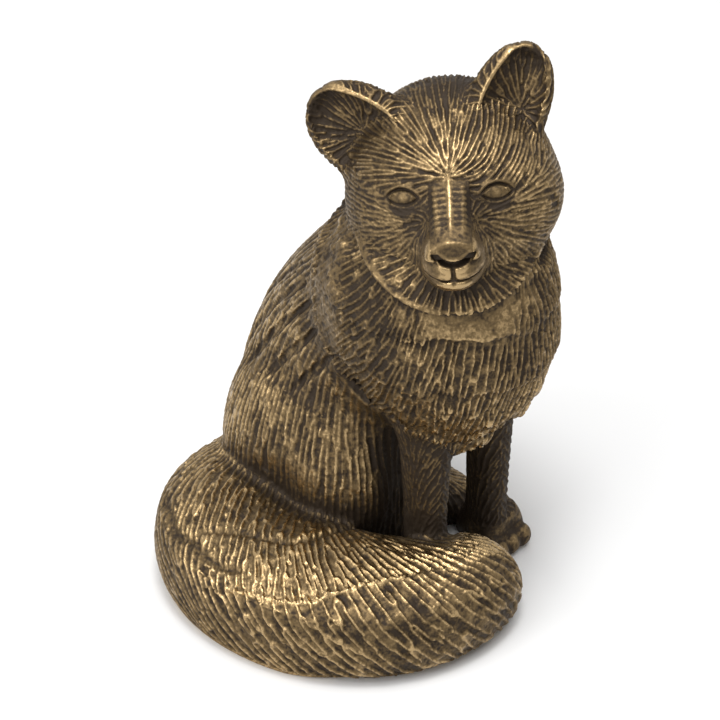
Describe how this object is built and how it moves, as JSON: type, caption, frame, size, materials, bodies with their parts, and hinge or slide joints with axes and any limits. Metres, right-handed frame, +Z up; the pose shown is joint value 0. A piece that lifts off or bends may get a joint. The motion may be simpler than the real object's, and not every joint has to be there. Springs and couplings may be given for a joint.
{
  "type": "fox figurine",
  "caption": "Antiqued cast-brass seated fox figurine, head turned to its right, thick brush tail curled round the haunch to the forepaws, free-standing on a flat underside.",
  "frame": {"origin": "on the ground, in the middle of the flat seat under the rump", "axes": "+Z up, the body faces -Y, the fox's right side is -X"},
  "size_m": [0.0587, 0.0626, 0.094],
  "materials": {
    "trunk": "antiqued: dark brown patina in the chased fur lines, rubbed golden on the ridges",
    "mane": "antiqued: dark brown patina in the chased fur lines, rubbed golden on the ridges",
    "head": "antiqued: dark brown patina in the chased fur lines, rubbed golden on the ridges",
    "ear_right": "antiqued: dark brown patina in the chased fur lines, rubbed golden on the ridges",
    "ear_left": "antiqued: dark brown patina in the chased fur lines, rubbed golden on the ridges",
    "foreleg_right": "antiqued: dark brown patina in the chased fur lines, rubbed golden on the ridges",
    "foreleg_left": "antiqued: dark brown patina in the chased fur lines, rubbed golden on the ridges",
    "haunch_right": "antiqued: dark brown patina in the chased fur lines, rubbed golden on the ridges",
    "haunch_left": "antiqued: dark brown patina in the chased fur lines, rubbed golden on the ridges",
    "tail": "antiqued: dark brown patina in the chased fur lines, rubbed golden on the ridges"
  },
  "bodies": {
    "root": {"trunk": "trunk", "mane": "mane", "head": "head", "ear_right": "ear_right", "ear_left": "ear_left", "foreleg_right": "foreleg_right", "foreleg_left": "foreleg_left", "haunch_right": "haunch_right", "haunch_left": "haunch_left", "tail": "tail"}
  },
  "joints": []
}
